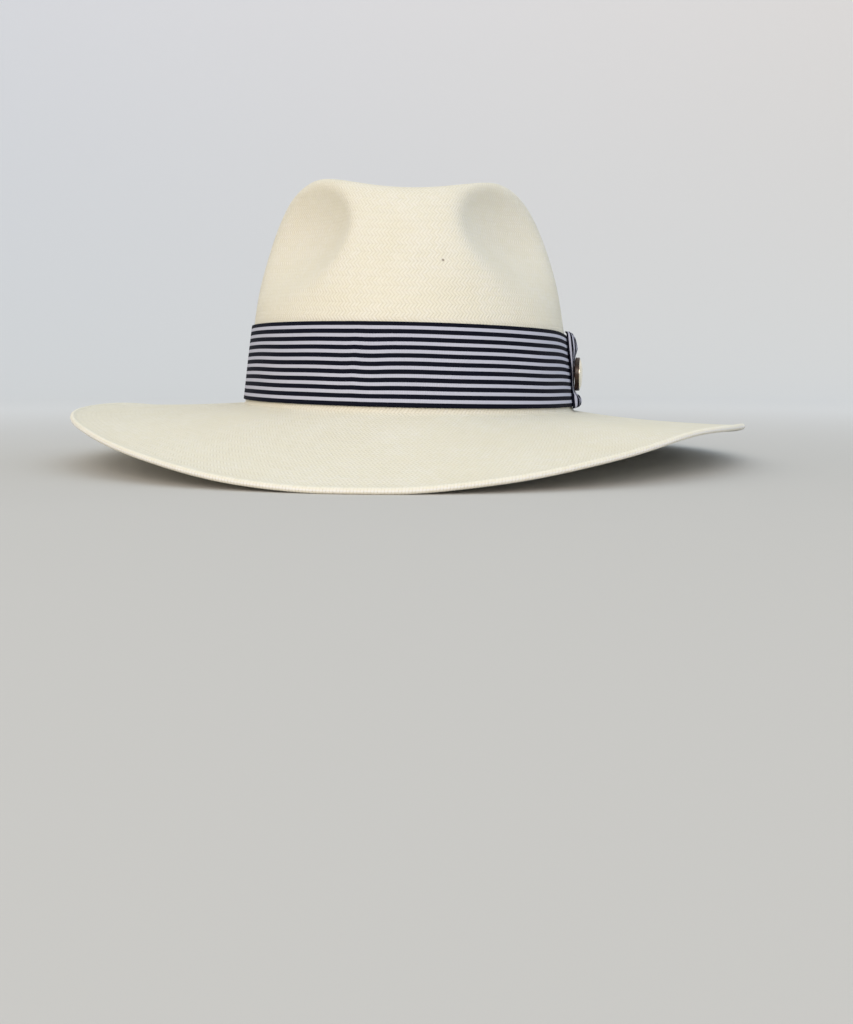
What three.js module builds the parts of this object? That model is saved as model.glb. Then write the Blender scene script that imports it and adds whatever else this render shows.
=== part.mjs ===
// A wide-brimmed straw fedora: the woven straw body, a striped ribbon band round its crown,
// a ribbon keeper over the band's join, and a round button that pinches the keeper.
// Millimetres. +X is the wearer's left, -Y is the front of the hat and +Z is up. The hat
// rests on the floor, Z = 0, on the front and the back of its rim.
// A "turn" is the angle about Z, measured from the front towards the wearer's left.
import * as THREE from 'three';

// ---- Driving dimensions ----
const STRAW = 1.4;                 // thickness of the woven straw
const GAP = 0.3;                   // air between two pieces that lie on each other
const HEAD_WIDTH = 160.4;          // inside the crown, ear to ear
const HEAD_LENGTH = 199.2;         // inside the crown, front to back
const BREAK_RISE = 24.8;           // where the crown meets the brim, above the floor
const CROWN_RISE = 112.3;          // top of the uncreased crown, above the break
const CROWN_TILT = 0.0227;         // the crown's lines sink this much for each mm towards +X
const BRIM_WIDTH = 324;            // across the hat
const BRIM_LENGTH = 350;           // front to back
const BRIM_HOLLOW = 0.9;           // how far the brim sags below a straight line to its rim
const BREAK_RADIUS = 2;            // hollow curve from the crown's wall into the brim
const BEAD = 2.4;                  // height of the rolled bead along the rim
const REST = 0.6;                  // how far the rim's low stretches are flattened by the floor
const RIBBON_WIDTH = 35.6;
const RIBBON = 1;                  // thickness of the ribbon band
const RIBBON_LIFT = 2.1;           // lower edge of the ribbon, above the break
const KEEPER_TURN = 75;            // where the band's join lies under the keeper and the button
const KEEPER_LEAN = 8;             // turn between the middles of the keeper's ends, in degrees
const BUTTON_RISE = 17.8;          // middle of the button, above the break
const BUTTON_STAND_OFF = 3.3;      // middle of the button's back, out from the crown's wall
const BUTTON_WIDTH = 16;
const BUTTON_DEPTH = 2.1;
const BUTTON_LIP = 0.6;            // width of the brown edge left round the metal face
const FACE_DEPTH = 0.6;
const FACE_DOME = 1.1;             // rise of the metal face from its edge to its middle

// How the crown leans in and rounds over at its sides, front and back. The higher the
// square, the fuller the shoulder.
const CROWN = {
  side: { lean: 0.171, square: 4.5 },
  front: { lean: 0.39, square: 4 },
  back: { lean: 0.17, square: 3.6 },
};

// Height of the rim's underside above the floor, in mm, by turn in degrees.
const RIM = [
  { turn: -180, rise: 0 },
  { turn: -155, rise: 3.9 },
  { turn: -125, rise: 18 },
  { turn: -100, rise: 23.9 },
  { turn: -80, rise: 22.7 },
  { turn: -60, rise: 18.6 },
  { turn: -40, rise: 10.3 },
  { turn: -20, rise: 2.2 },
  { turn: -5, rise: 0 },
  { turn: 12, rise: 3.5 },
  { turn: 30, rise: 11 },
  { turn: 48, rise: 18.2 },
  { turn: 66, rise: 17.5 },
  { turn: 90, rise: 12.3 },
  { turn: 120, rise: 8 },
  { turn: 150, rise: 2.6 },
  { turn: 180, rise: 0 },
];

// The long crease along the top: a trough whose floor rises to the front and the back.
const CREASE = {
  floor: 92.7,          // lowest point of its floor, above the break
  lowest: 2,            // where that is along Y
  front: 17.2,          // rise of its floor at the front edge
  frontReach: 74,       // how far ahead of its lowest point that is
  back: 18,             // rise of its floor at the back end
  backReach: 58,        // how far behind its lowest point that is
  steep: 0.0111,        // how steeply its sides rise, per mm
  frontSteep: -0.0036,  // change in that steepness at the front edge
  soft: 8.5,            // how soft its edges are
};

// The two pinches beside the front panel. Each is a shallow bowl pressed in from outside.
const PINCHES = [
  { side: -1, turn: 45.2, climb: 0.452, facing: 60.9, tip: 6, depth: 11, wide: 127, tall: 33.6, soft: 3.4 },
  { side: 1, turn: 44.3, climb: 0.476, facing: 58.6, tip: 7.5, depth: 9.9, wide: 145, tall: 32.6, soft: 4.4 },
];

// The keeper from its lower end to its upper end: how far it stands out from the band, and
// its width. The button pinches it in the middle.
const KEEPER = [
  { rise: 1.4, proud: 0.3, width: 11 },
  { rise: 2, proud: 2.2, width: 14 },
  { rise: 3.2, proud: 3.3, width: 16 },
  { rise: 5, proud: 3.6, width: 16.4 },
  { rise: 7, proud: 2.6, width: 16 },
  { rise: 8.4, proud: 0.9, width: 15 },
  { rise: 9.6, proud: 0.4, width: 14 },
  { rise: 17.8, proud: 0.9, width: 13 },
  { rise: 25, proud: 1.6, width: 14 },
  { rise: 27, proud: 3.1, width: 15.4 },
  { rise: 29.2, proud: 4, width: 16.8 },
  { rise: 32, proud: 3.9, width: 17 },
  { rise: 35, proud: 3.3, width: 16.6 },
  { rise: 37.2, proud: 2.2, width: 15 },
  { rise: 38.4, proud: 0.3, width: 11 },
];

const COLUMNS = 64;                // faces round the hat
const FRONT_CROWDING = 0.35;       // how much closer they lie at the front
const WALL_ROWS = 4;               // faces up the part of the crown that the ribbon covers
const WALL_RISE = 40;              // height of that part, along the wall
const TOP_ROWS = 16;               // faces from there to the middle of the top
const TOP_CROWDING = 0.08;         // how much closer they lie at the shoulder
const BREAK_ROWS = 3;              // faces round the hollow curve at the break
const BRIM_ROWS = 6;               // faces from there to the bead
const BEAD_SIDES = 8;
const RIBBON_ROWS = 2;             // faces up the band
const KEEPER_SIDES = 14;           // faces round the keeper
const BUTTON_SIDES = 28;

// ---- Small helpers ----
const { degToRad, radToDeg } = THREE.MathUtils;
const Z = new THREE.Vector3(0, 0, 1);
const range = (count) => Array.from({ length: count }, (_, index) => index);

/** The smaller of two numbers, with a soft corner. */
function softMin(a, b, soft) {
  const near = Math.max(soft - Math.abs(a - b), 0) / soft;
  return Math.min(a, b) - near * near * soft / 4;
}

/** A smooth curve through the rim's table, which doesn't swing past its rows. */
function rimRise(turn) {
  const count = RIM.length - 1;
  const at = THREE.MathUtils.euclideanModulo(turn + 180, 360) - 180;
  const row = Math.min(RIM.findLastIndex((entry) => entry.turn <= at), count - 1);
  const entry = (index) => {
    const lap = Math.floor(index / count);
    const found = RIM[index - lap * count];
    return { turn: found.turn + 360 * lap, rise: found.rise };
  };
  const steepness = (index) => {
    const [before, here, after] = [entry(index - 1), entry(index), entry(index + 1)];
    const into = (here.rise - before.rise) / (here.turn - before.turn);
    const out = (after.rise - here.rise) / (after.turn - here.turn);
    return into * out <= 0 ? 0 : 2 * into * out / (into + out);
  };
  const [low, high] = [entry(row), entry(row + 1)];
  const span = high.turn - low.turn;
  const f = (at - low.turn) / span;
  return low.rise * (1 + 2 * f) * (1 - f) ** 2 + high.rise * f * f * (3 - 2 * f)
    + span * f * (1 - f) * (steepness(row) * (1 - f) - steepness(row + 1) * f);
}

/** Joins rings of points into one closed surface. A ring of one point is a pole, and
 * rings with no pole at their ends join end to end. */
function skin(rings) {
  const starts = [];
  const points = [];
  rings.forEach((ring) => {
    starts.push(points.length);
    points.push(...ring);
  });
  const corner = (row, column) => {
    const ring = rings[row % rings.length];
    return starts[row % rings.length] + column % ring.length;
  };
  const hasPoles = rings[0].length === 1;
  const columns = Math.max(...rings.map((ring) => ring.length));
  const index = [];
  range(hasPoles ? rings.length - 1 : rings.length).forEach((row) => {
    range(columns).forEach((column) => {
      const [a, b] = [corner(row, column), corner(row, column + 1)];
      const [c, d] = [corner(row + 1, column), corner(row + 1, column + 1)];
      if (a !== b) index.push(a, c, b);
      if (c !== d) index.push(b, c, d);
    });
  });
  const geometry = new THREE.BufferGeometry().setFromPoints(points);
  geometry.setIndex(index);
  geometry.computeVertexNormals();
  return geometry;
}

// ---- The crown's outer surface ----

/** The crown before it is creased, at a turn in radians, from 0 at the break to 1 at its
 * middle. Z is the rise above the break. */
function openCrown(turn, climb) {
  const across = Math.sin(turn);
  const along = Math.cos(turn);
  const end = along > 0 ? CROWN.front : CROWN.back;
  const lean = CROWN.side.lean + (end.lean - CROWN.side.lean) * along * along;
  const square = CROWN.side.square + (end.square - CROWN.side.square) * along * along;
  const up = Math.sin(climb * Math.PI / 2);
  const out = Math.cos(climb * Math.PI / 2);
  const scale = (up ** square + out ** square) ** (-1 / square);
  const size = (1 - lean * up * scale) * out * scale;
  return new THREE.Vector3(
    (HEAD_WIDTH / 2 + STRAW) * across * size,
    -(HEAD_LENGTH / 2 + STRAW) * along * size,
    CROWN_RISE * up * scale,
  );
}

/** Measures a meridian of the open crown from the break, as openCrown's climb. */
function meridian(turn) {
  const samples = 120;
  const lengths = [0];
  range(samples).forEach((step) => {
    const from = openCrown(turn, step / samples);
    lengths.push(lengths[step] + from.distanceTo(openCrown(turn, (step + 1) / samples)));
  });
  const climbAt = (length) => {
    const step = Math.min(lengths.findLastIndex((entry) => entry <= length), samples - 1);
    return (step + (length - lengths[step]) / (lengths[step + 1] - lengths[step])) / samples;
  };
  return { climbAt, total: lengths[samples] };
}

/** Presses one pinch into a point of the crown. */
function pinched(point, pinch) {
  const facing = degToRad(pinch.facing) * pinch.side;
  const tip = degToRad(pinch.tip);
  const middle = openCrown(degToRad(pinch.turn) * pinch.side, pinch.climb);
  const out = new THREE.Vector3(0, -Math.cos(tip), Math.sin(tip)).applyAxisAngle(Z, facing);
  const aside = new THREE.Vector3(pinch.side, 0, 0).applyAxisAngle(Z, facing);
  const up = new THREE.Vector3(0, Math.sin(tip), Math.cos(tip)).applyAxisAngle(Z, facing);
  const from = point.clone().sub(middle);
  const [over, rise, stand] = [aside, up, out].map((axis) => from.dot(axis));
  const bowl = over ** 2 / (2 * pinch.wide) + rise ** 2 / (2 * pinch.tall) - pinch.depth;
  return point.clone().addScaledVector(out, softMin(stand, bowl, pinch.soft) - stand);
}

/** Height of the long crease above the break, at a place on the crown. */
function creaseHeight(x, y) {
  const ahead = Math.max(CREASE.lowest - y, 0) / CREASE.frontReach;
  const behind = Math.max(y - CREASE.lowest, 0) / CREASE.backReach;
  const floor = CREASE.floor + CREASE.front * ahead ** 2 + CREASE.back * behind ** 2;
  return floor + (CREASE.steep + CREASE.frontSteep * ahead ** 2) * x * x;
}

/** The crown's outer surface, with its crease and pinches. */
function crown(turn, climb) {
  const point = PINCHES.reduce(pinched, openCrown(turn, climb));
  point.z = softMin(point.z, creaseHeight(point.x, point.y), CREASE.soft);
  point.z += BREAK_RISE - CROWN_TILT * point.x;
  return point;
}

// ---- The brim's upper surface ----

/** The middle of the bead along the rim. */
function beadMiddle(turn) {
  return new THREE.Vector3(
    (BRIM_WIDTH - BEAD) / 2 * Math.sin(turn),
    -(BRIM_LENGTH - BEAD) / 2 * Math.cos(turn),
    Math.max(rimRise(radToDeg(turn)) - REST, 0) + BEAD / 2,
  );
}

/** A point of the bead's skin. Its slope is the angle above the outward direction. */
function beadSkin(turn, slope) {
  const radius = BEAD / 2 / Math.cos(Math.PI / BEAD_SIDES);
  const point = beadMiddle(turn);
  const reach = radius * Math.cos(slope);
  point.x += reach * Math.sin(turn);
  point.y -= reach * Math.cos(turn);
  point.z += radius * Math.sin(slope);
  return point;
}

const beadSlope = (side) => Math.PI * (1 - (2 * side + 1) / BEAD_SIDES);

/** A point of the brim, from 0 at the break to 1 at the bead. */
function brim(turn, share) {
  const point = crown(turn, 0).lerp(beadSkin(turn, beadSlope(0)), share);
  point.z -= 4 * BRIM_HOLLOW * share * (1 - share);
  return point;
}

/** The upper surface from the middle of the crown's top out to the bead, at one turn. */
function upperMeridian(turn) {
  const { climbAt, total } = meridian(turn);
  const wall = range(WALL_ROWS - 1).map((row) => WALL_RISE * (row + 1) / WALL_ROWS);
  const top = range(TOP_ROWS).map((row) => {
    const share = row / TOP_ROWS;
    const crowded = share + TOP_CROWDING * Math.sin(2 * Math.PI * share);
    return WALL_RISE + (total - WALL_RISE) * crowded;
  });
  const wallFoot = crown(turn, climbAt(BREAK_RADIUS));
  const corner = crown(turn, 0);
  const brimStart = BREAK_RADIUS / corner.distanceTo(brim(turn, 1));
  const brimFoot = brim(turn, brimStart);
  const hollow = new THREE.QuadraticBezierCurve3(wallFoot, corner, brimFoot);
  const flat = range(BRIM_ROWS).map((row) => {
    return brim(turn, brimStart + (1 - brimStart) * (row + 1) / BRIM_ROWS);
  });
  return [
    ...[...wall, ...top].reverse().map((length) => crown(turn, climbAt(length))),
    ...hollow.getPoints(BREAK_ROWS),
    ...flat,
  ];
}

const turns = range(COLUMNS).map((column) => {
  const even = 2 * Math.PI * column / COLUMNS;
  return even - FRONT_CROWDING * Math.sin(even);
});

/** The woven straw body: one shell, open underneath, with a bead along its rim. */
function strawBody() {
  const meridians = turns.map(upperMeridian);
  const top = [crown(0, 1)];
  const upper = [top, ...range(meridians[0].length).map((row) => meridians.map((m) => m[row]))];
  const bead = range(BEAD_SIDES - 2).map((side) => {
    return turns.map((turn) => beadSkin(turn, beadSlope(side + 1)));
  });
  const lastRing = turns.map((turn) => beadSkin(turn, beadSlope(BEAD_SIDES - 1)));
  const open = skin(upper);
  const normals = open.getAttribute('normal');
  let count = 0;
  const lower = upper.map((ring) => ring.map((point) => {
    const normal = new THREE.Vector3().fromBufferAttribute(normals, count);
    count += 1;
    return point.clone().addScaledVector(normal, -STRAW);
  }));
  const underside = [lastRing, ...lower.slice(0, -1).reverse()];
  return skin([...upper, ...bead, ...underside]);
}

// ---- The trimmings ----

/** A point off the crown's wall. Its rise is the length up the wall from the break, and its
 * stand-off is square to the wall. */
function offWall(turn, rise, standOff) {
  const nearby = 0.5;
  const place = (at, length) => crown(at, meridian(at).climbAt(length));
  const point = place(turn, rise);
  const up = place(turn, rise + nearby).sub(point);
  const around = place(turn + nearby / HEAD_WIDTH, rise).sub(point);
  return point.addScaledVector(around.cross(up).normalize(), standOff);
}

/** The ribbon band: one closed ring that follows the crown's wall. */
function ribbonBand() {
  const rises = range(RIBBON_ROWS + 1).map((row) => RIBBON_LIFT + RIBBON_WIDTH * row / RIBBON_ROWS);
  const ring = (rise, standOff) => turns.map((turn) => offWall(turn, rise, standOff));
  const inner = rises.map((rise) => ring(rise, GAP));
  const outer = rises.map((rise) => ring(rise, GAP + RIBBON));
  return skin([...outer.reverse(), ...inner]);
}

/** The keeper: a soft upright roll of the same ribbon, closed at both ends. */
function ribbonKeeper() {
  const middle = (rise) => {
    return degToRad(KEEPER_TURN + KEEPER_LEAN * (rise - BUTTON_RISE) / RIBBON_WIDTH);
  };
  const back = GAP + RIBBON + GAP;
  const around = (side) => 2 * Math.PI * side / KEEPER_SIDES;
  const wallRadius = HEAD_WIDTH / 2 + STRAW;
  const ring = ({ rise, proud, width }) => range(KEEPER_SIDES).map((side) => {
    const aside = -width / 2 * Math.cos(around(side));
    const bulge = Math.abs(Math.sin(around(side))) ** 0.7 * Math.sign(Math.sin(around(side)));
    return offWall(middle(rise) + aside / wallRadius, rise, back + proud * (1 + bulge) / 2);
  });
  const pole = ({ rise, proud }) => [offWall(middle(rise), rise, back + proud / 2)];
  const rows = [...KEEPER].reverse();
  return skin([pole(rows[0]), ...rows.map(ring), pole(rows[rows.length - 1])]);
}

/** A turned piece on the button's axis, from a profile of radii and stand-offs. The button
 * is upright, because the keeper's thicker end is above it. */
function buttonPiece(profile) {
  const middle = degToRad(KEEPER_TURN);
  const foot = offWall(middle, BUTTON_RISE, 0);
  const out = offWall(middle, BUTTON_RISE, 1).sub(foot).setZ(0).normalize();
  const facing = new THREE.Quaternion().setFromUnitVectors(Z, out);
  const around = (side) => 2 * Math.PI * side / BUTTON_SIDES;
  const rings = profile.map(([radius, standOff]) => {
    return range(radius > 0 ? BUTTON_SIDES : 1).map((side) => {
      const flat = [radius * Math.cos(around(side)), radius * Math.sin(around(side))];
      return new THREE.Vector3(...flat, standOff).applyQuaternion(facing).add(foot);
    });
  });
  return skin(rings);
}

/** The button's brown body, with a shallow seat in front for the metal face. */
function buttonBody() {
  const radius = BUTTON_WIDTH / 2;
  const front = BUTTON_STAND_OFF + BUTTON_DEPTH;
  return buttonPiece([
    [0, front - FACE_DEPTH],
    [radius - BUTTON_LIP, front - FACE_DEPTH],
    [radius - BUTTON_LIP / 2, front],
    [radius, front - BUTTON_LIP],
    [radius, BUTTON_STAND_OFF + BUTTON_LIP],
    [radius - BUTTON_LIP, BUTTON_STAND_OFF],
    [0, BUTTON_STAND_OFF],
  ]);
}

/** The button's metal face, a low dome that sits in the body's seat. */
function buttonFace() {
  const radius = BUTTON_WIDTH / 2 - BUTTON_LIP - GAP;
  const back = BUTTON_STAND_OFF + BUTTON_DEPTH - FACE_DEPTH + GAP;
  const front = back + FACE_DEPTH;
  const dome = (share) => [radius * share, front + FACE_DOME * (1 - share * share)];
  return buttonPiece([
    dome(0),
    dome(1 / 3),
    dome(2 / 3),
    [radius - FACE_DEPTH / 2, front],
    [radius, back + FACE_DEPTH / 2],
    [radius, back],
    [0, back],
  ]);
}

const MATERIALS = {
  straw: new THREE.MeshStandardMaterial({ color: 0xefe8d4, roughness: 0.75, metalness: 0 }),
  ribbon: new THREE.MeshStandardMaterial({ color: 0x10132a, roughness: 0.7, metalness: 0 }),
  horn: new THREE.MeshStandardMaterial({ color: 0x33231a, roughness: 0.4, metalness: 0 }),
  brass: new THREE.MeshStandardMaterial({ color: 0xe0cf9a, roughness: 0.25, metalness: 1 }),
};

function piece(name, geometry, material) {
  const mesh = new THREE.Mesh(geometry, material);
  mesh.name = name;
  return mesh;
}

const fedora = new THREE.Group();
fedora.add(
  piece('straw_body', strawBody(), MATERIALS.straw),
  piece('ribbon_band', ribbonBand(), MATERIALS.ribbon),
  piece('ribbon_keeper', ribbonKeeper(), MATERIALS.ribbon.clone()),
  piece('button_body', buttonBody(), MATERIALS.horn),
  piece('button_face', buttonFace(), MATERIALS.brass),
);

export default fedora;
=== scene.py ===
"""A wide-brimmed straw fedora with a striped ribbon band, a ribbon keeper and a round button.

Metres. -Y is the front of the hat, +X the wearer's left and +Z up. A turn is the angle
about Z from the front towards the wearer's left.
"""
import math

import bpy
import numpy as np
from mathutils import Matrix, Vector
from mathutils.bvhtree import BVHTree


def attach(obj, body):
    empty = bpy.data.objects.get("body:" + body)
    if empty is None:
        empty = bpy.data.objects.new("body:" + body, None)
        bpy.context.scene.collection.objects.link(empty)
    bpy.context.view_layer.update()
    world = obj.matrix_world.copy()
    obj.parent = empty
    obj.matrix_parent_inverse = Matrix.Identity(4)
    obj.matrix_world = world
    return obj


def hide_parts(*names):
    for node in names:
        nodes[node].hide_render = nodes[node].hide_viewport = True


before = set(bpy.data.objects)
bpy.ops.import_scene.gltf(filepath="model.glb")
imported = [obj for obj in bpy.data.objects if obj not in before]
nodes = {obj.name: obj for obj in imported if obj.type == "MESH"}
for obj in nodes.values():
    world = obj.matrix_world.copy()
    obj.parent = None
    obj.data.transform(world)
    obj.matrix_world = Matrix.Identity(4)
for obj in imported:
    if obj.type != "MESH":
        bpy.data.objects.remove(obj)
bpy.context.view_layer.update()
MM = 0.001

# ---- The camera ----

CAMERA_PLACE = (0.00842, -0.525, 0.0414)
CAMERA_LENS = 36.21                     # mm, on a sensor of CAMERA_SENSOR
CAMERA_SENSOR = 36
CAMERA_NEAREST = 0.01                   # nothing nearer to it is drawn
CAMERA_DIP = math.radians(7.6857)       # how far it looks down


def make_camera():
    data = bpy.data.cameras.new("camera")
    data.lens = CAMERA_LENS
    data.sensor_width = CAMERA_SENSOR
    data.clip_start = CAMERA_NEAREST
    camera = bpy.data.objects.new("camera", data)
    camera.location = CAMERA_PLACE
    camera.rotation_euler = (math.pi / 2 - CAMERA_DIP, 0, 0)
    bpy.context.scene.collection.objects.link(camera)
    bpy.context.scene.camera = camera


# ---- Small helpers ----

def only(piece):
    """Selects one object and nothing else."""
    bpy.ops.object.select_all(action="DESELECT")
    piece.select_set(True)
    bpy.context.view_layer.objects.active = piece


def new_piece(name, points, faces):
    """An object made of the given points and faces, in the scene."""
    mesh = bpy.data.meshes.new(name)
    mesh.from_pydata([tuple(point) for point in points], [], faces)
    piece = bpy.data.objects.new(name, mesh)
    bpy.context.scene.collection.objects.link(piece)
    return piece


def finish_modifier(piece, kind, **settings):
    """Adds a modifier and applies it at once."""
    only(piece)
    modifier = piece.modifiers.new(kind.lower(), kind)
    for setting, value in settings.items():
        setattr(modifier, setting, value)
    bpy.ops.object.modifier_apply(modifier=modifier.name)


def face_outwards(piece):
    """Turns every face of a closed piece outwards."""
    only(piece)
    bpy.ops.object.mode_set(mode="EDIT")
    bpy.ops.mesh.select_all(action="SELECT")
    bpy.ops.mesh.normals_make_consistent(inside=False)
    bpy.ops.object.mode_set(mode="OBJECT")


def smooth(piece, angle=None):
    """Shades a piece smooth, all over or up to an angle between faces, in degrees."""
    only(piece)
    if angle is None:
        bpy.ops.object.shade_smooth()
    else:
        bpy.ops.object.shade_smooth_by_angle(angle=math.radians(angle))


def bell(x, middle, width):
    """A smooth bump: 1 at the middle, and next to nothing past twice the width."""
    return math.exp(-((x - middle) / width) ** 2)


# ---- Materials ----

# A spread names a low and a high value and what each of them becomes.

class Shading:
    """A material's nodes, with short ways to add and join them."""

    def __init__(self, name):
        self.material = bpy.data.materials.new(name)
        self.material.use_nodes = True
        self.tree = self.material.node_tree
        self.shader = self.tree.nodes["Principled BSDF"]

    def node(self, kind, **settings):
        made = self.tree.nodes.new("ShaderNode" + kind)
        for setting, value in settings.items():
            setattr(made, setting, value)
        return made

    def join(self, value, socket):
        if isinstance(value, bpy.types.NodeSocket):
            self.tree.links.new(value, socket)
        else:
            socket.default_value = value

    def math(self, operation, *values):
        made = self.node("Math", operation=operation)
        for value, socket in zip(values, made.inputs):
            self.join(value, socket)
        return made.outputs[0]

    def spread(self, value, low, high, to_low=0.0, to_high=1.0, soft=False):
        """Maps low..high to to_low..to_high and stops at both ends."""
        made = self.node("MapRange", interpolation_type="SMOOTHSTEP" if soft else "LINEAR")
        for number, socket in zip((value, low, high, to_low, to_high), made.inputs):
            self.join(number, socket)
        return made.outputs[0]

    def blend(self, share, first, second):
        made = self.node("Mix", data_type="RGBA")
        self.join(share, made.inputs["Factor"])
        self.join(first, made.inputs[6])
        self.join(second, made.inputs[7])
        return made.outputs[2]

    def place(self):
        """The place on the piece, in metres."""
        return self.node("TexCoord").outputs["Object"]

    def uv(self):
        """The two directions of the piece's own UV map."""
        split = self.node("SeparateXYZ")
        self.join(self.node("UVMap", uv_map="weave").outputs[0], split.inputs[0])
        return split.outputs[0], split.outputs[1]

    def noise(self, vector, scale, detail=2.0):
        made = self.node("TexNoise")
        self.join(vector, made.inputs["Vector"])
        made.inputs["Scale"].default_value = scale
        made.inputs["Detail"].default_value = detail
        return made.outputs["Fac"]

    def random(self, x, y):
        """A steady random number for each pair of whole numbers."""
        pair = self.node("CombineXYZ")
        self.join(x, pair.inputs[0])
        self.join(y, pair.inputs[1])
        made = self.node("TexWhiteNoise", noise_dimensions="2D")
        self.join(pair.outputs[0], made.inputs["Vector"])
        return made.outputs["Value"]

    def relief(self, height, depth, strength):
        """Bumps of the given depth, where the height is 1."""
        made = self.node("Bump")
        made.inputs["Strength"].default_value = strength
        made.inputs["Distance"].default_value = depth
        self.join(height, made.inputs["Height"])
        self.join(made.outputs[0], self.shader.inputs["Normal"])

    def constants(self, **settings):
        """Sets the shader's own sockets. A name's underscores stand for spaces."""
        for name, value in settings.items():
            self.shader.inputs[name.replace("_", " ")].default_value = value

    def colour(self, value):
        self.join(value, self.shader.inputs["Base Color"])


STRAW_ROW = 2.1 * MM              # height of one row of the weave
STRAND = 1.65 * MM                # along a row, from one strand to the next
STRAW_LIGHT = (0.86, 0.835, 0.70, 1)
STRAW_PALE = (0.88, 0.86, 0.76, 1)
STRAW_WARM = (0.84, 0.80, 0.64, 1)
# painted shade: darker straw where the grooves between strands lie
STRAW_GROOVE_SHADE = (0.66, 0.60, 0.44, 1)
# a painted highlight, near white, along the outside of the rim's bead
RIM_PAINTED_HIGHLIGHT = (0.95, 0.95, 0.93, 1)
ROW_SHAPE = 0.45                  # how a strand's height rises from its row's edges,
STRAND_SHAPE = 0.6                # and from its own two sides: the lower, the squarer
ROW_SHARE = 0.4                   # how much of its height a strand loses at its row's edges
FEWEST_STRANDS = 6.0              # in a row, next to the middle of the crown's top
GROOVE_SHADE_SPREAD = (0.1, 0.75, 0.46, 0.0)   # the weave's height to the painted shade in the grooves
PATCH_SCALE = 45.0
PATCH_SPREAD = (0.35, 0.7, 0.1, 0.5)     # noise to the warmer colour
TIGHT_SCALE = 70.0
TIGHT_SPREAD = (0.36, 0.62, 0.65, 1.1)   # noise to how strong the painted groove shade is
STRAND_LIFT = 0.25                # how much higher some strands lie than others
STRAW_RELIEF = 0.25 * MM
PINHOLE_SHADE = (0.20, 0.16, 0.10, 1)     # painted shade of a small hole in the weave, on the front
SPECK_PLACE = (0.0155, -0.0743, 0.0893)
SPECK_SPREAD = (0.35 * MM, 0.85 * MM, 0.75, 0.0)
FIBRE_SCALE = 2400.0              # of the finest fibres, on the turned edge
FIBRE_RELIEF = 0.05 * MM
RIM_HIGHLIGHT_SPREAD = (0.01, 0.07, 0.9, 0.0)  # the way round the bead to the painted highlight
GAP_SHADE_SPREAD = (0.0, 0.16, 0.35, 0.0)      # the way across a turned strand to the painted shade between strands


def straw_material(lengths, rounds):
    """Herringbone rows of flat strands. lengths and rounds give the way round the hat at
    each length along the straw, so that each row has a whole number of strands."""
    straw = Shading("straw_weave")
    turn, along = straw.uv()
    rows = straw.math("DIVIDE", along, STRAW_ROW)
    row = straw.math("FLOOR", rows)
    up = straw.math("FRACT", rows)

    middle = straw.math("MULTIPLY", straw.math("ADD", row, 0.5), STRAW_ROW / lengths[-1])
    curve = straw.node("FloatCurve")
    most = max(rounds)
    points = curve.mapping.curves[0].points
    pairs = [(length / lengths[-1], around / most) for length, around in zip(lengths, rounds)]
    points[0].location, points[1].location = pairs[0], pairs[-1]
    for pair in pairs[1:-1]:
        points.new(*pair)
    for point in points:
        point.handle_type = "VECTOR"
    curve.mapping.update()
    straw.join(middle, curve.inputs["Value"])
    count = straw.math("ROUND", straw.math("MULTIPLY", curve.outputs[0], most / STRAND))
    count = straw.math("MAXIMUM", count, FEWEST_STRANDS)

    lean = straw.math("MULTIPLY", straw.math("FLOORED_MODULO", row, 2.0), 2.0)
    lean = straw.math("SUBTRACT", lean, 1.0)
    strands = straw.math("MULTIPLY_ADD", lean, up, straw.math("MULTIPLY", turn, count))
    strand = straw.math("FLOORED_MODULO", straw.math("FLOOR", strands), count)
    over = straw.math("SINE", straw.math("MULTIPLY", straw.math("FRACT", strands), math.pi))
    across = straw.math("SINE", straw.math("MULTIPLY", up, math.pi))
    across = straw.math("POWER", across, ROW_SHAPE)
    over = straw.math("POWER", over, STRAND_SHAPE)
    across = straw.math("MULTIPLY_ADD", across, ROW_SHARE, 1 - ROW_SHARE)
    height = straw.math("MULTIPLY", over, across)

    chance = straw.random(strand, row)
    tint = straw.blend(chance, STRAW_LIGHT, STRAW_PALE)
    patch = straw.noise(straw.place(), PATCH_SCALE)
    warm = straw.blend(straw.spread(patch, *PATCH_SPREAD), tint, STRAW_WARM)
    # Painted shade: darker where the weave is low, between the strands.
    groove_shade = straw.spread(height, *GROOVE_SHADE_SPREAD)
    tight = straw.noise(straw.place(), TIGHT_SCALE)
    tight = straw.spread(tight, *TIGHT_SPREAD)
    woven = straw.blend(straw.math("MULTIPLY", groove_shade, tight), warm, STRAW_GROOVE_SHADE)
    # A dark dot on the front: painted shade where a small hole in the weave shows the inside.
    away = straw.node("VectorMath", operation="DISTANCE")
    straw.join(straw.place(), away.inputs[0])
    away.inputs[1].default_value = SPECK_PLACE
    pinhole = straw.spread(away.outputs["Value"], *SPECK_SPREAD, soft=True)
    straw.colour(straw.blend(pinhole, woven, PINHOLE_SHADE))
    lift = straw.math("MULTIPLY_ADD", chance, STRAND_LIFT, height)
    straw.relief(lift, STRAW_RELIEF, 0.8)
    straw.constants(Roughness=0.62, Specular_IOR_Level=0.35)
    return straw.material


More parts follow.
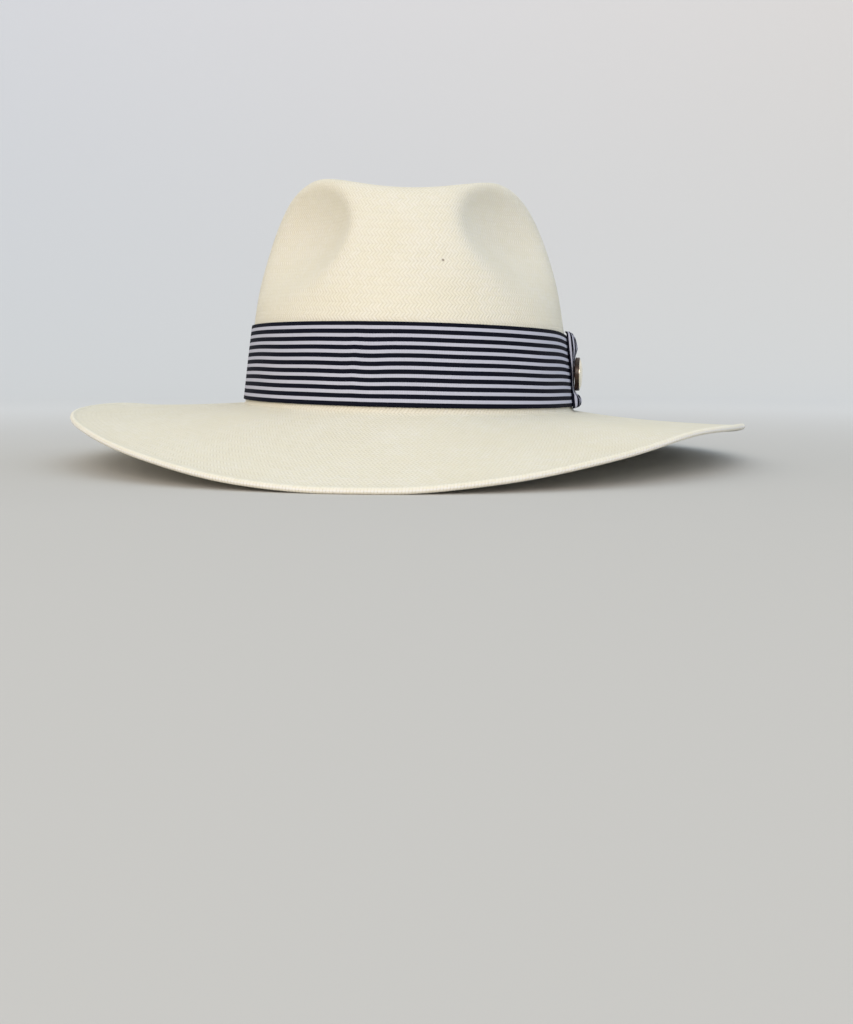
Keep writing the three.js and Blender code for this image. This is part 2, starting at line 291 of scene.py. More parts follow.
def edge_material():
    """Strands side by side, with a painted highlight along the outside. The first UV direction
    counts them and the second goes once round the bead, from the outside over the top."""
    edge = Shading("turned_edge")
    along, round_bead = edge.uv()
    chance = edge.random(edge.math("FLOOR", along), 0.0)
    tint = edge.blend(chance, STRAW_LIGHT, STRAW_PALE)
    # Painted highlight along the outside of the bead.
    outside = edge.math("PINGPONG", round_bead, 0.5)
    outside = edge.spread(outside, *RIM_HIGHLIGHT_SPREAD)
    tint = edge.blend(outside, tint, RIM_PAINTED_HIGHLIGHT)
    # Painted shade in the gaps between the turned strands.
    gap_shade = edge.math("PINGPONG", along, 0.5)
    gap_shade = edge.spread(gap_shade, *GAP_SHADE_SPREAD)
    edge.colour(edge.blend(gap_shade, tint, STRAW_GROOVE_SHADE))
    fibres = edge.noise(edge.place(), FIBRE_SCALE)
    edge.relief(fibres, FIBRE_RELIEF, 0.5)
    edge.constants(Roughness=0.6, Specular_IOR_Level=0.35)
    return edge.material


NAVY = (0.004, 0.005, 0.014, 1)
NAVY_VALLEY_SHADE = (0.002, 0.003, 0.008, 1)   # painted shade between two ribs
PALE = (0.63, 0.65, 0.76, 1)
PALE_KEEPER_SHADE = (0.40, 0.41, 0.50, 1)      # on the keeper: the ribbon's pale, painted darker as shade
# a greyer pale, for random clouds and for painted shade between the ribs
PALE_GREY_AND_RIB_SHADE = (0.50, 0.515, 0.62, 1)
STRIPES = 21                      # across the ribbon, navy at both edges
# Widths within a pair of stripes, as shares of the pair.
STRIPE_START = 0.25               # the first navy stripe's middle, in from the ribbon's edge
STRIPE_EDGE = 0.283               # from a navy stripe's middle to where the pale one starts
STRIPE_BLUR = 0.015
SEAM_WIDTH = 0.06                 # of the step between two stripes
RIB_PITCH = 0.7 * MM
CLOUD_SCALE = 60.0
CLOUD_SPREAD = (0.3, 0.7, 0.0, 0.35)     # noise to the slightly greyer colour
RIBBON_RELIEF = 0.09 * MM


def ribbon_material(name, palest):
    """Navy and pale stripes along a ribbed ribbon. The first UV direction runs along the
    ribbon in metres and the second across it, from 0 to 1."""
    ribbon = Shading(name)
    along, across = ribbon.uv()
    stripe = ribbon.math("MULTIPLY_ADD", across, STRIPES / 2, -STRIPE_START)
    from_middle = ribbon.math("PINGPONG", stripe, 0.5)
    low, high = STRIPE_EDGE - STRIPE_BLUR, STRIPE_EDGE + STRIPE_BLUR
    pale = ribbon.spread(from_middle, low, high, 0, 1, soft=True)
    ribs = ribbon.math("FRACT", ribbon.math("DIVIDE", along, RIB_PITCH))
    rib = ribbon.math("SINE", ribbon.math("MULTIPLY", ribs, math.pi))
    shade = ribbon.noise(ribbon.place(), CLOUD_SCALE)
    cloudy = ribbon.spread(shade, *CLOUD_SPREAD)
    light = ribbon.blend(cloudy, palest, PALE_GREY_AND_RIB_SHADE)
    # Both stripes are darker between the ribs: painted shade.
    dark = ribbon.blend(rib, NAVY_VALLEY_SHADE, NAVY)
    light = ribbon.blend(ribbon.math("MULTIPLY", rib, 0.35), PALE_GREY_AND_RIB_SHADE, light)
    ribbon.colour(ribbon.blend(pale, dark, light))
    edge = ribbon.math("ABSOLUTE", ribbon.math("SUBTRACT", from_middle, STRIPE_EDGE))
    seam = ribbon.spread(edge, 0.0, SEAM_WIDTH)
    ribbon.relief(ribbon.math("MULTIPLY_ADD", seam, 0.6, rib), RIBBON_RELIEF, 0.6)
    ribbon.constants(Roughness=0.75, Specular_IOR_Level=0.08)
    return ribbon.material


HORN_SCALE = 260.0                # of the clouds in the horn
HORN_SPREAD = (0.35, 0.65, 0.0, 1.0)
HORN_ROUGHNESS = (0.3, 0.7, 0.22, 0.34)
HORN_DARK = (0.012, 0.006, 0.003, 1)
HORN_LIGHT = (0.045, 0.022, 0.012, 1)


def horn_material():
    """Dark brown horn, cloudy and glossy."""
    horn = Shading("brown_horn")
    cloud = horn.noise(horn.place(), HORN_SCALE, 3.0)
    horn.colour(horn.blend(horn.spread(cloud, *HORN_SPREAD), HORN_DARK, HORN_LIGHT))
    roughness = horn.spread(cloud, *HORN_ROUGHNESS)
    horn.join(roughness, horn.shader.inputs["Roughness"])
    horn.constants(Coat_Weight=0.15, Coat_Roughness=0.12, Specular_IOR_Level=0.25)
    return horn.material


WEAR_SCALE = 420.0                # of the duller patches on the brass
BRASS_ROUGHNESS = (0.3, 0.7, 0.14, 0.26)
BRASS_DULL = (0.90, 0.83, 0.66, 1)
BRASS_BRIGHT = (0.96, 0.92, 0.81, 1)


def brass_material():
    """Pale polished brass, a little worn."""
    brass = Shading("pale_brass")
    wear = brass.noise(brass.place(), WEAR_SCALE, 3.0)
    brass.colour(brass.blend(wear, BRASS_DULL, BRASS_BRIGHT))
    roughness = brass.spread(wear, *BRASS_ROUGHNESS)
    brass.join(roughness, brass.shader.inputs["Roughness"])
    brass.constants(Metallic=1.0)
    return brass.material


# ---- The straw body ----

STRAW_COLUMNS = 64                # of the CAD node's grid, round the hat
SAME_PLACE = 1e-6


def merged_copy(node, name):
    """A copy of a CAD node, with its loose triangles joined up."""
    piece = nodes[node].copy()
    piece.data = nodes[node].data.copy()
    piece.name = piece.data.name = name
    piece.parent = None
    bpy.context.scene.collection.objects.link(piece)
    only(piece)
    bpy.ops.object.mode_set(mode="EDIT")
    bpy.ops.mesh.select_all(action="SELECT")
    bpy.ops.mesh.remove_doubles(threshold=SAME_PLACE)
    bpy.ops.mesh.customdata_custom_splitnormals_clear()
    bpy.ops.object.mode_set(mode="OBJECT")
    piece.data.materials.clear()
    return piece


def straw_grid(mesh):
    """Each corner's ring, counted from the middle of the crown's top round the rim to the
    middle of its inside, and its column round the hat."""
    places = np.array([vertex.co for vertex in mesh.vertices])
    beside = [[] for _ in mesh.vertices]
    for edge in mesh.edges:
        first, second = edge.vertices
        beside[first].append(second)
        beside[second].append(first)
    poles = [index for index, near in enumerate(beside) if len(near) == STRAW_COLUMNS]
    top = max(poles, key=lambda index: places[index][2])
    ring = {top: 0}
    rings = [[top]]
    while len(rings[-1]) > 1 or len(rings) == 1:
        further = []
        for index in rings[-1]:
            for near in beside[index]:
                if near not in ring:
                    ring[near] = len(rings)
                    further.append(near)
        rings.append(further)

    def from_before(step):
        return np.abs(np.roll(turned, -step, 0) - before).sum()

    before = None
    for number in range(1, len(rings) - 1):
        order = rings[number][:1]
        while len(order) < STRAW_COLUMNS:
            order.append(next(
                near for near in beside[order[-1]]
                if ring[near] == number and near not in order
            ))
        turned = places[order]
        ahead = np.roll(turned, -1, 0)
        if (turned[:, 0] * ahead[:, 1] - turned[:, 1] * ahead[:, 0]).sum() < 0:
            order.reverse()
        turned = places[order]
        if before is None:
            shift = np.argmax(-turned[:, 1])
        else:
            shift = min(range(STRAW_COLUMNS), key=from_before)
        rings[number] = order[shift:] + order[:shift]
        before = places[rings[number]]
    column = {index: place for row in rings for place, index in enumerate(row)}
    return ring, column, rings


def make_straw():
    """The straw body, smoothed from the CAD node's grid. Its UV map gives the share of the
    way round the hat and the length along the straw from the middle of the crown's top."""
    piece = merged_copy("straw_body", "straw_weave")
    mesh = piece.data
    ring, column, rings = straw_grid(mesh)
    last = len(rings) - 1

    only(piece)
    bpy.ops.object.mode_set(mode="EDIT")
    bpy.ops.mesh.select_all(action="DESELECT")
    bpy.ops.mesh.select_mode(type="EDGE")
    bpy.ops.object.mode_set(mode="OBJECT")
    for edge in mesh.edges:
        upper, lower = sorted(edge.vertices, key=lambda index: ring[index])
        inner = 0 < ring[upper] < ring[lower] < last
        edge.select = inner and column[upper] != column[lower]
    bpy.ops.object.mode_set(mode="EDIT")
    bpy.ops.mesh.dissolve_edges(use_verts=False)
    bpy.ops.object.mode_set(mode="OBJECT")

    places = [np.empty((STRAW_COLUMNS, 3)) for _ in rings]
    for index, vertex in enumerate(mesh.vertices):
        pole = ring[index] in (0, last)
        places[ring[index]][slice(None) if pole else column[index]] = vertex.co
    lengths = [0.0]
    for before, after in zip(places, places[1:]):
        lengths.append(lengths[-1] + float(np.linalg.norm(after - before, axis=1).mean()))
    rounds, shares = [], []
    for rim in places:
        steps = np.linalg.norm(np.roll(rim, -1, 0) - rim, axis=1)
        rounds.append(float(steps.sum()))
        reached = np.concatenate(([0.0], np.cumsum(steps)))
        shares.append(reached / max(reached[-1], MM))

    layer = mesh.uv_layers.new(name="weave")
    for face in mesh.polygons:
        columns = [column[index] for index in face.vertices if 0 < ring[index] < last]
        wraps = max(columns) - min(columns) > 1
        for loop, index in zip(face.loop_indices, face.vertices):
            here, beside = column[index], ring[index]
            if not 0 < beside < last:
                here = sum(columns) // 2 if not wraps else STRAW_COLUMNS - 1
                beside = 1 if beside == 0 else last - 1
            elif wraps and here == 0:
                here = STRAW_COLUMNS
            layer.data[loop].uv = (shares[beside][here], lengths[ring[index]])
    finish_modifier(piece, "SUBSURF", levels=2, render_levels=2)
    smooth(piece)
    mesh = piece.data
    mesh.materials.append(straw_material(lengths, rounds))
    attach(piece, "root")
    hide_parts("straw_body")
    return piece, bead_line(places)


# ---- The rim's edge, where the strands turn back ----

EDGE_RADIUS = 1.16 * MM           # the straw wall's own bead
EDGE_PITCH = 1.9 * MM             # from one turned strand to the next
EDGE_SWELL = 0.13 * MM            # how far each strand stands out of the bead
EDGE_STEPS = 6                    # sections along each turned strand
EDGE_SIDES = 10
EDGE_SHAPE = 0.7                  # how round each strand is: the lower, the squarer
BEAD_SIDES = 8                    # rings round the straw wall's bead
REST_HEIGHT = 0.05 * MM           # the edge lies flat here where it meets the floor
UP = Vector((0, 0, 1))


def bead_line(places):
    """The middle of the rim's bead beside each column of the straw's grid."""
    reaches = [np.hypot(row[:, 0], row[:, 1]).mean() for row in places]
    pairs = [first + second for first, second in zip(reaches, reaches[1:])]
    upper = pairs.index(max(pairs))
    above = BEAD_SIDES // 2 - 1
    return np.mean(places[upper - above:upper - above + BEAD_SIDES], axis=0)


def smooth_line(corners, steps):
    """The closed curve that a subdivision surface makes of a line of corners."""
    along = np.arange(steps) * len(corners) / steps
    before, share = np.floor(along).astype(int) - 1, along % 1
    weights = np.array([
        (1 - share) ** 3,
        3 * share ** 3 - 6 * share ** 2 + 4,
        -3 * share ** 3 + 3 * share ** 2 + 3 * share + 1,
        share ** 3,
    ]) / 6
    return sum(
        weight[:, None] * corners[(before + number) % len(corners)]
        for number, weight in enumerate(weights)
    )


def make_rim_edge(bead):
    """Strands turned over the rim's bead, side by side all round."""
    length = np.linalg.norm(np.roll(bead, -1, 0) - bead, axis=1).sum()
    steps = round(length / EDGE_PITCH) * EDGE_STEPS
    line = smooth_line(bead, steps)
    ahead = np.roll(line, -1, 0) - np.roll(line, 1, 0)
    points, flat, faces = [], [], []
    for step in range(steps):
        along = step / EDGE_STEPS
        out = Vector((ahead[step, 1], -ahead[step, 0], 0)).normalized()
        centre = Vector(line[step])
        for side in range(EDGE_SIDES):
            round_bead = 2 * math.pi * side / EDGE_SIDES
            swell = abs(math.sin(math.pi * along - round_bead / 2)) ** EDGE_SHAPE
            radius = EDGE_RADIUS + EDGE_SWELL * swell
            away = math.cos(round_bead) * out + math.sin(round_bead) * UP
            place = centre + radius * away
            place.z = max(place.z, REST_HEIGHT)
            points.append(place)
            after, beside = (step + 1) % steps, (side + 1) % EDGE_SIDES
            faces.append((
                step * EDGE_SIDES + side,
                after * EDGE_SIDES + side,
                after * EDGE_SIDES + beside,
                step * EDGE_SIDES + beside,
            ))
            share, next_share = side / EDGE_SIDES, (side + 1) / EDGE_SIDES
            next_along = along + 1 / EDGE_STEPS
            flat.append((
                (along - share, share),
                (next_along - share, share),
                (next_along - next_share, next_share),
                (along - next_share, next_share),
            ))
    piece = new_piece("turned_edge", points, faces)
    layer = piece.data.uv_layers.new(name="weave")
    for face, corners in zip(piece.data.polygons, flat):
        for loop, corner in zip(face.loop_indices, corners):
            layer.data[loop].uv = corner
    face_outwards(piece)
    smooth(piece)
    piece.data.materials.append(edge_material())
    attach(piece, "root")


# ---- Places on the crown's wall ----

BREAK_RISE = 24.8 * MM            # where the crown meets the brim, above the floor
CROWN_TILT = 0.0227               # the break's slope down towards the wearer's left
FAR = 0.3                         # outside the hat
SLOPE_STEP = 1.5 * MM             # up and down the wall, to find its slope
SLOPE_TURN = 0.03                 # and to both sides, in radians


class Wall:
    """Finds places off the crown's wall, by turn and by rise above the break."""

    def __init__(self, piece):
        mesh = piece.data
        corners = [vertex.co for vertex in mesh.vertices]
        faces = [tuple(face.vertices) for face in mesh.polygons]
        self.tree = BVHTree.FromPolygons(corners, faces)

    def find(self, turn, height):
        """The wall's point at a height above the floor."""
        inward = Vector((-math.sin(turn), math.cos(turn), 0))
        start = -FAR * inward
        start.z = height
        return self.tree.ray_cast(start, inward)[0]

    def __call__(self, turn, rise, stand_off):
        """The place that stands off the wall there, and the wall's outward direction."""
        height = BREAK_RISE + rise
        for _ in range(3):
            point = self.find(turn, height)
            height = BREAK_RISE + rise - CROWN_TILT * point.x
        above = self.find(turn, height + SLOPE_STEP)
        below = self.find(turn, max(height - SLOPE_STEP, height - rise + SLOPE_STEP))
        left = self.find(turn - SLOPE_TURN, height)
        right = self.find(turn + SLOPE_TURN, height)
        out = (right - left).cross(above - below).normalized()
        return point + stand_off * out, out


# ---- The ribbon band ----

RIBBON_LIFT = 2.3 * MM            # its lower edge, above the break
RIBBON_HEIGHT = 35.2 * MM
RIBBON_OUT = 1.15 * MM            # the ribbon's outer side, off the crown's wall
RIBBON_THICK = 0.75 * MM
RIBBON_EDGE = 0.22 * MM           # width of its rounded edges
RIBBON_COLUMNS = 360
RIBBON_ROWS = 16
RIBBON_LENGTH = 0.585
# Slight waves round the band: how many, where they start and how high they are, in mm.
OUTWARD_WAVES = ((9, 0.7, 0.10), (17, 2.1, 0.07))
UPWARD_WAVES = ((5, 0.4, 0.16), (13, 1.3, 0.09))
CREASE_TURN = math.radians(-13.5)        # a small crease in front, near the middle
CREASE_OUT = 0.2 * MM
CREASE_UP = 0.14 * MM             # the stripes rise at the crease and dip beside it
CREASE_DIP = 0.12 * MM
# Widths round the hat, in radians.
CREASE_OUT_WIDTH = 0.02
CREASE_UP_WIDTH = 0.035
CREASE_DIP_WIDTH = 0.05
CREASE_DIP_BESIDE = 0.09          # from the crease to the middle of the dip
KEEPER_PULL_WIDTH = 0.22
KEEPER_TURN = math.radians(75)
KEEPER_LEAN = math.radians(8)     # between the middles of the keeper's two ends
KEEPER_PULL = 1.3 * MM            # how far the keeper draws the ribbon's upper edge down


def waves(turn, table):
    """The height of a table's waves at a turn, in mm."""
    return sum(size * math.sin(count * turn + start) for count, start, size in table)


def make_ribbon(wall):
    """The ribbon round the foot of the crown, with a crease in front and pulled down a little
    at the keeper."""
    points, flat = [], []
    for column in range(RIBBON_COLUMNS):
        turn = 2 * math.pi * column / RIBBON_COLUMNS
        near = math.remainder(turn - CREASE_TURN, 2 * math.pi)
        wave = waves(turn, OUTWARD_WAVES)
        lift = waves(turn, UPWARD_WAVES) * MM
        up = CREASE_UP * bell(near, 0, CREASE_UP_WIDTH)
        lift += up - CREASE_DIP * bell(near, CREASE_DIP_BESIDE, CREASE_DIP_WIDTH)
        crease = CREASE_OUT * bell(near, 0, CREASE_OUT_WIDTH)
        sag = KEEPER_PULL * bell(turn, KEEPER_TURN, KEEPER_PULL_WIDTH)
        for row in range(RIBBON_ROWS + 1):
            across = row / RIBBON_ROWS
            body = math.sin(math.pi * across)
            out = RIBBON_OUT + wave * MM * body + crease * body
            rise = RIBBON_LIFT + (RIBBON_HEIGHT - sag) * across + lift * body
            place, _ = wall(turn, rise, float(out))
            points.append(place)
            flat.append((turn, across))
    faces = []
    rows = RIBBON_ROWS + 1
    for column in range(RIBBON_COLUMNS):
        here, after = column * rows, (column + 1) % RIBBON_COLUMNS * rows
        for row in range(RIBBON_ROWS):
            faces.append((here + row, after + row, after + row + 1, here + row + 1))
    piece = new_piece("striped_ribbon", points, faces)
    layer = piece.data.uv_layers.new(name="weave")
    last_column = rows * (RIBBON_COLUMNS - 1)
    for face in piece.data.polygons:
        wraps = min(face.vertices) < rows and max(face.vertices) >= last_column
        for loop, index in zip(face.loop_indices, face.vertices):
            turn, across = flat[index]
            if wraps and index < rows:
                turn = 2 * math.pi
            layer.data[loop].uv = (turn / (2 * math.pi) * RIBBON_LENGTH, across)
    finish_modifier(piece, "SOLIDIFY", thickness=RIBBON_THICK, offset=-1)
    finish_modifier(piece, "BEVEL", width=RIBBON_EDGE, segments=2, limit_method="ANGLE")
    smooth(piece, 40)
    piece.data.materials.append(ribbon_material("striped_ribbon", PALE))
    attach(piece, "root")
    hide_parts("ribbon_band")


# ---- The keeper and the button ----

CROWN_HALF_WIDTH = 81.6 * MM      # where the keeper is, with the ribbon
KEEPER_LENGTH = 0.090             # of ribbon, round the band and sewn together behind it
# The keeper from its lower to its upper end, in mm: rise above the break, where its back
# lies off the wall, how far it stands out from there, and its width.
KEEPER = (
    (1.3, 0.7, 0.9, 12.5),
    (1.5, 1.2, 2.0, 14.4),
    (2.4, 1.5, 2.9, 15.6),
    (3.8, 1.5, 3.5, 16.2),
    (5.4, 1.5, 3.6, 16.4),
    (7.0, 1.5, 2.7, 16.0),
    (8.4, 1.5, 1.3, 15.0),
    (9.8, 1.5, 0.7, 14.2),
    (14.0, 1.5, 0.8, 13.4),
    (17.8, 1.5, 1.5, 13.0),
    (21.6, 1.5, 2.0, 13.4),
    (25.0, 1.5, 2.4, 14.2),
    (27.0, 1.5, 3.2, 15.6),
    (29.2, 1.5, 4.1, 16.8),
    (32.0, 1.5, 4.0, 17.0),
    (34.6, 1.5, 3.5, 16.6),
    (36.6, 1.5, 2.6, 15.6),
    (37.8, 1.2, 1.7, 14.4),
    (38.1, 0.7, 0.9, 12.5),
)
KEEPER_ROWS = 72
KEEPER_FRONT = 48                 # steps across its front
KEEPER_BACK = 10
KEEPER_SHAPE = 0.6                # how round its front is: the lower, the squarer
KEEPER_SPACING = 0.85             # closer steps near its two sides
PLEAT = 0.36                      # where the two pleats lie, from its middle to its edge
PLEAT_WIDTH = 0.055
PLEAT_DEPTH = 0.42                # share of the keeper's thickness
PLEAT_HIDDEN = 1.9                # mm of ribbon folded away in each pleat
RIPPLE = 0.05                     # share of its thickness, between the pleats
RIPPLE_ACROSS = 11                # how quickly the ripple turns, across and along the keeper
RIPPLE_ALONG = 9
KEEPER_STRIPE = -0.08             # which part of a stripe lies along its front edge
UPPER_GATHER = 1.5                # how much ribbon its upper loop takes for its width
GATHER_START = 0.35               # share of its length from where it takes more ribbon
GATHER_LENGTH = 0.3


def make_keeper(wall):
    """A roll of the ribbon over the band's join, with two pleats along it. It closes over
    the band's upper and lower edges."""
    table = np.array(KEEPER)
    steps = np.linspace(0, 1, len(table))
    points, flat = [], []
    sides = KEEPER_FRONT + KEEPER_BACK
    for row in range(KEEPER_ROWS + 1):
        share = row / KEEPER_ROWS
        rise, back, proud, width = (float(np.interp(share, steps, column)) for column in table.T)
        middle = KEEPER_TURN + KEEPER_LEAN * (rise * MM - BUTTON_RISE) / RIBBON_HEIGHT
        strip = (KEEPER_STRIPE + STRIPE_START) * 2 / STRIPES
        gathered = min(max((share - GATHER_START) / GATHER_LENGTH, 0.0), 1.0)
        gather = 1 + (UPPER_GATHER - 1) * gathered
        for side in range(sides):
            if side <= KEEPER_FRONT:
                angle = math.pi * (1 - side / KEEPER_FRONT)
                aside = math.copysign(abs(math.cos(angle)) ** KEEPER_SPACING, math.cos(angle))
                puff = math.sin(angle) ** KEEPER_SHAPE
                fold = sum(bell(aside, place, PLEAT_WIDTH) for place in (-PLEAT, PLEAT))
                ripple = math.cos(RIPPLE_ACROSS * aside + RIPPLE_ALONG * share)
                puff *= 1 - PLEAT_DEPTH * fold + RIPPLE * ripple
                out = back + proud * puff
            else:
                aside = 1 - 2 * (side - KEEPER_FRONT) / KEEPER_BACK
                out = back
            turn = middle + aside * width / 2 * MM / CROWN_HALF_WIDTH
            place = wall(turn, rise * MM, out * MM)[0]
            if side:
                strip += gather * (place - points[-1]).length / RIBBON_HEIGHT
                if before < -PLEAT <= aside or before < PLEAT <= aside:
                    strip += PLEAT_HIDDEN * MM / RIBBON_HEIGHT
            before = aside
            points.append(place)
            flat.append((share * KEEPER_LENGTH, strip))
    faces = []
    for row in range(KEEPER_ROWS):
        for side in range(sides):
            here, after = row * sides + side, row * sides + (side + 1) % sides
            faces.append((here, after, after + sides, here + sides))
    faces.append(tuple(reversed(range(sides))))
    faces.append(tuple(KEEPER_ROWS * sides + side for side in range(sides)))
    piece = new_piece("pleated_keeper", points, faces)
    layer = piece.data.uv_layers.new(name="weave")
    for face in piece.data.polygons:
        for loop, index in zip(face.loop_indices, face.vertices):
            layer.data[loop].uv = flat[index]
    face_outwards(piece)
    smooth(piece, 50)
    # The keeper's pale stripes are painted darker than the band's: painted shade.
    piece.data.materials.append(ribbon_material("pleated_keeper", PALE_KEEPER_SHADE))
    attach(piece, "root")
    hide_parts("ribbon_keeper")


BUTTON_RISE = 17.8 * MM           # its middle, above the break
BUTTON_RADIUS = 8 * MM
BUTTON_BACK = 3.3 * MM            # off the crown's wall
BUTTON_DEPTH = 2.1 * MM
FACE_RADIUS = 7.1 * MM
FACE_BACK = 5.1 * MM
FACE_DEPTH = 0.5 * MM
BUTTON_EDGE = 0.4 * MM            # width of the rounded edges
FACE_EDGE = 0.12 * MM
# Steps from the rim of a disc's front inwards, in mm: how wide, and how far up or down.
BUTTON_FRONT = ((0.6, 0.0), (0.1, -0.6))
FACE_FRONT = ((0.4, 0.20), (0.8, 0.30), (1.0, 0.26), (1.2, 0.20), (1.4, 0.12))
DISC_SIDES = 72
UPWARDS = 0.9                     # a normal's height, on a face that looks up


def disc(name, radius, depth, front):
    """A turned disc with its back at height 0, and steps in its front."""
    bpy.ops.object.select_all(action="DESELECT")
    middle = (0, 0, depth / 2)
    bpy.ops.mesh.primitive_cylinder_add(
        vertices=DISC_SIDES, radius=radius, depth=depth, location=middle,
    )
    piece = bpy.context.object
    piece.name = piece.data.name = name
    bpy.ops.object.transform_apply(location=True, rotation=True, scale=True)
    bpy.ops.object.mode_set(mode="EDIT")
    bpy.ops.mesh.select_mode(type="FACE")
    bpy.ops.mesh.select_all(action="DESELECT")
    bpy.ops.object.mode_set(mode="OBJECT")
    for face in piece.data.polygons:
        face.select = face.normal.z > UPWARDS
    bpy.ops.object.mode_set(mode="EDIT")
    for width, height in front:
        bpy.ops.mesh.inset(thickness=width * MM, depth=height * MM)
    bpy.ops.mesh.poke()
    bpy.ops.object.mode_set(mode="OBJECT")
    return piece


def set_upright(piece, wall, stand_off):
    """Turns a disc to face outwards at the keeper's middle, off the crown's wall."""
    foot, out = wall(KEEPER_TURN, BUTTON_RISE, 0.0)
    out = Vector((out.x, out.y, 0)).normalized()
    place = foot + stand_off * out
    facing = out.to_track_quat("Z", "Y").to_matrix().to_4x4()
    piece.matrix_world = Matrix.Translation(place) @ facing
    only(piece)
    bpy.ops.object.transform_apply(location=True, rotation=True, scale=True)


def make_button(wall):
    """The brown button with a raised edge, and its domed metal face."""
    body = disc("brown_button", BUTTON_RADIUS, BUTTON_DEPTH, BUTTON_FRONT)
    finish_modifier(body, "BEVEL", width=BUTTON_EDGE, segments=4, limit_method="ANGLE")
    face = disc("bright_face", FACE_RADIUS, FACE_DEPTH, FACE_FRONT)
    finish_modifier(face, "BEVEL", width=FACE_EDGE, segments=3, limit_method="ANGLE")
    seats = (
        (body, BUTTON_BACK, horn_material(), "button_body", "brown_horn"),
        (face, FACE_BACK, brass_material(), "button_face", "pale_brass"),
    )
    for piece, stand_off, material, node, slot in seats:
        set_upright(piece, wall, stand_off)
        smooth(piece, 35)
        piece.data.materials.append(material)
        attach(piece, "root")
        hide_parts(node)


# ---- The studio ----

FLOOR_REACH = 1.3                 # where the floor starts to curve up into the backdrop
SWEEP_RADIUS = 1.5
BACKDROP_HEIGHT = 4.0
BACKDROP_SIDES = 96
SWEEP_STEPS = 16
BACKDROP_GLOW = 0.30
GLOW_HEIGHT = 1.3                 # the backdrop glows in full from here up
GLOW_COLOUR = (1.0, 1.0, 0.98, 1)
PAPER_NEAR = (0.60, 0.595, 0.58, 1)
PAPER_FAR = (0.80, 0.80, 0.805, 1)
PAPER_MIDDLE = (0.0, -0.25, 0.0)  # of the darker stretch
PAPER_DARK = 0.2                  # how far that stretch reaches
PAPER_PALE = 1.1                  # and where it has faded out


def studio_material():
    """Paper that is a little darker round the hat than further off, and that glows faintly
    high up, where the room's light doesn't reach it. The paler paper further off is painted
    light, brightening the floor behind the hat where too little light falls."""
    paper = Shading("studio_paper")
    away = paper.node("VectorMath", operation="DISTANCE")
    paper.join(paper.place(), away.inputs[0])
    away.inputs[1].default_value = PAPER_MIDDLE
    # Painted light: paler away from the hat.
    share = paper.spread(away.outputs["Value"], PAPER_DARK, PAPER_PALE, soft=True)
    paper.colour(paper.blend(share, PAPER_NEAR, PAPER_FAR))
    split = paper.node("SeparateXYZ")
    paper.join(paper.place(), split.inputs[0])
    glow = paper.spread(split.outputs[2], 0.0, GLOW_HEIGHT, 0.0, BACKDROP_GLOW)
    paper.join(glow, paper.shader.inputs["Emission Strength"])
    paper.constants(Emission_Color=GLOW_COLOUR)
    paper.constants(Roughness=0.95, Specular_IOR_Level=0.1)
    return paper.material


def make_studio():
    """A pale floor that curves up into a backdrop all round. Light passes the backdrop."""
    material = studio_material()
    bpy.ops.object.select_all(action="DESELECT")
    bpy.ops.mesh.primitive_circle_add(
        vertices=BACKDROP_SIDES, radius=FLOOR_REACH, fill_type="NGON",
    )
    floor = bpy.context.object
    floor.name = "studio_floor"
    profile = [(FLOOR_REACH, 0.0)]
    for step in range(1, SWEEP_STEPS + 1):
        angle = math.pi / 2 * step / SWEEP_STEPS
        profile.append((
            FLOOR_REACH + SWEEP_RADIUS * math.sin(angle),
            SWEEP_RADIUS * (1 - math.cos(angle)),
        ))
    profile.append((FLOOR_REACH + SWEEP_RADIUS, BACKDROP_HEIGHT))
    points = []
    for radius, height in profile:
        for side in range(BACKDROP_SIDES):
            angle = 2 * math.pi * side / BACKDROP_SIDES
            points.append((radius * math.cos(angle), radius * math.sin(angle), height))
    faces = []
    for row in range(len(profile) - 1):
        first = row * BACKDROP_SIDES
        for side in range(BACKDROP_SIDES):
            here, after = first + side, first + (side + 1) % BACKDROP_SIDES
            faces.append((here, after, after + BACKDROP_SIDES, here + BACKDROP_SIDES))
    backdrop = new_piece("studio_backdrop", points, faces)
    smooth(backdrop)
    backdrop.visible_diffuse = False
    backdrop.visible_shadow = False
    for part in (floor, backdrop):
        part.data.materials.append(material)


def make_light(name, place, target, size, spread, power, colour):
    """A round lamp, size across, whose light spreads over an angle in degrees."""
    data = bpy.data.lights.new(name, "AREA")
    data.shape = "DISK"
    data.size = size
    data.spread = math.radians(spread)
    data.energy = power
    data.color = colour
    light = bpy.data.objects.new(name, data)
    light.location = place
    direction = Vector(target) - Vector(place)
    light.rotation_euler = direction.to_track_quat("-Z", "Y").to_euler()
    light.visible_camera = False
    bpy.context.scene.collection.objects.link(light)


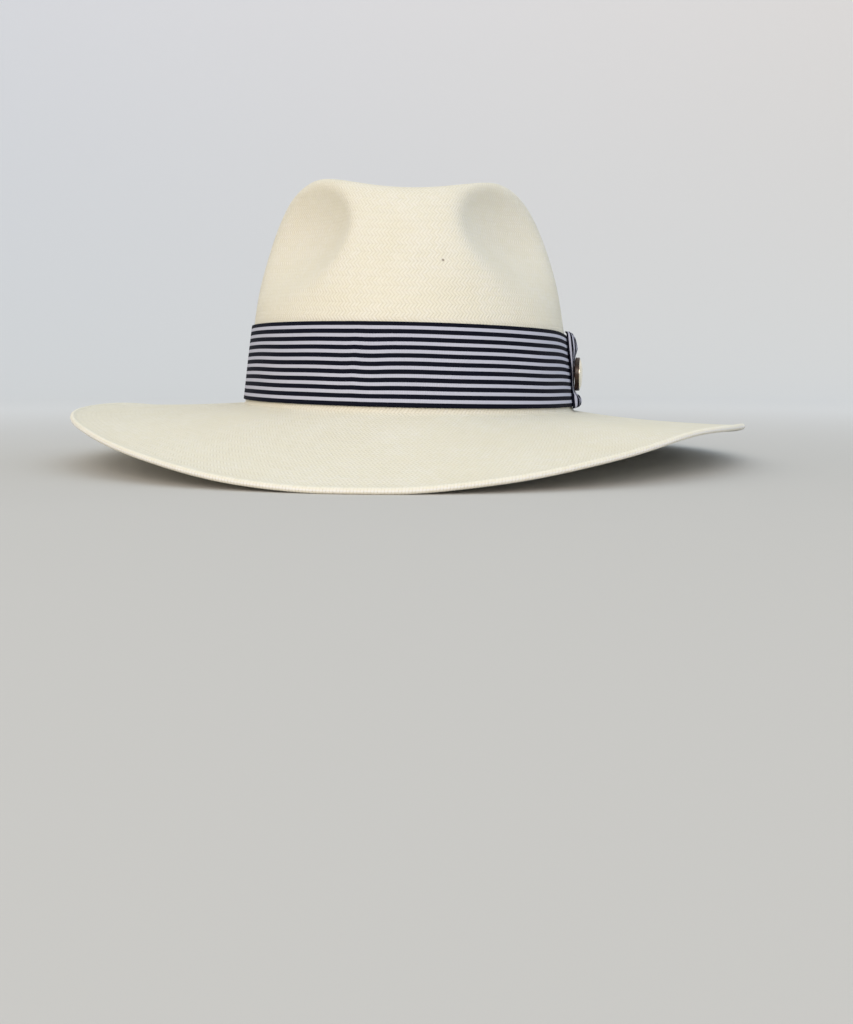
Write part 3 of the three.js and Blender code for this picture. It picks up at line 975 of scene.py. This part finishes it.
WORLD_STRENGTH = 0.70
RIGHT_SIDE = (0.45, 0.32, 0.23, 1)       # the room's light from the hat's right
LEFT_SIDE = (0.24, 0.295, 0.48, 1)
OVERHEAD = (1.0, 1.13, 1.09, 1)
# Each lamp's name, place, target, size, spread, power in watts and colour.
LAMPS = (
    ("front_light", (-0.30, -2.0, 0.85), (0, 0, 0.06), 1.4, 100, 7.75, (0.98, 0.85, 0.745)),
    ("window_light", (2.4, 1.7, 0.95), (0.08, 0, 0.05), 0.5, 180, 3.0, (0.96, 0.98, 1.0)),
)


def make_room():
    """Light from all round: warm from the hat's right, cool from its left and most from
    overhead."""
    world = bpy.data.worlds.new("studio")
    bpy.context.scene.world = world
    world.use_nodes = True
    tree = world.node_tree
    background = tree.nodes["Background"]
    background.inputs["Strength"].default_value = WORLD_STRENGTH
    place = tree.nodes.new("ShaderNodeTexCoord")
    split = tree.nodes.new("ShaderNodeSeparateXYZ")
    tree.links.new(place.outputs["Generated"], split.inputs[0])
    sideways = tree.nodes.new("ShaderNodeMapRange")
    sideways.inputs["From Min"].default_value = -1.0
    tree.links.new(split.outputs["X"], sideways.inputs["Value"])
    upwards = tree.nodes.new("ShaderNodeMapRange")
    tree.links.new(split.outputs["Z"], upwards.inputs["Value"])
    sides = tree.nodes.new("ShaderNodeMix")
    sides.data_type = "RGBA"
    sides.inputs[6].default_value = RIGHT_SIDE
    sides.inputs[7].default_value = LEFT_SIDE
    tree.links.new(sideways.outputs[0], sides.inputs["Factor"])
    total = tree.nodes.new("ShaderNodeMix")
    total.data_type = "RGBA"
    total.blend_type = "ADD"
    total.inputs[7].default_value = OVERHEAD
    tree.links.new(upwards.outputs[0], total.inputs["Factor"])
    tree.links.new(sides.outputs[2], total.inputs[6])
    tree.links.new(total.outputs[2], background.inputs["Color"])


def make_lighting():
    """The room's own light and the lamps."""
    make_room()
    for lamp in LAMPS:
        make_light(*lamp)
    bpy.context.scene.view_settings.view_transform = "Standard"


make_camera()
make_studio()
make_lighting()
straw, bead = make_straw()
make_rim_edge(bead)
wall = Wall(straw)
make_ribbon(wall)
make_keeper(wall)
make_button(wall)
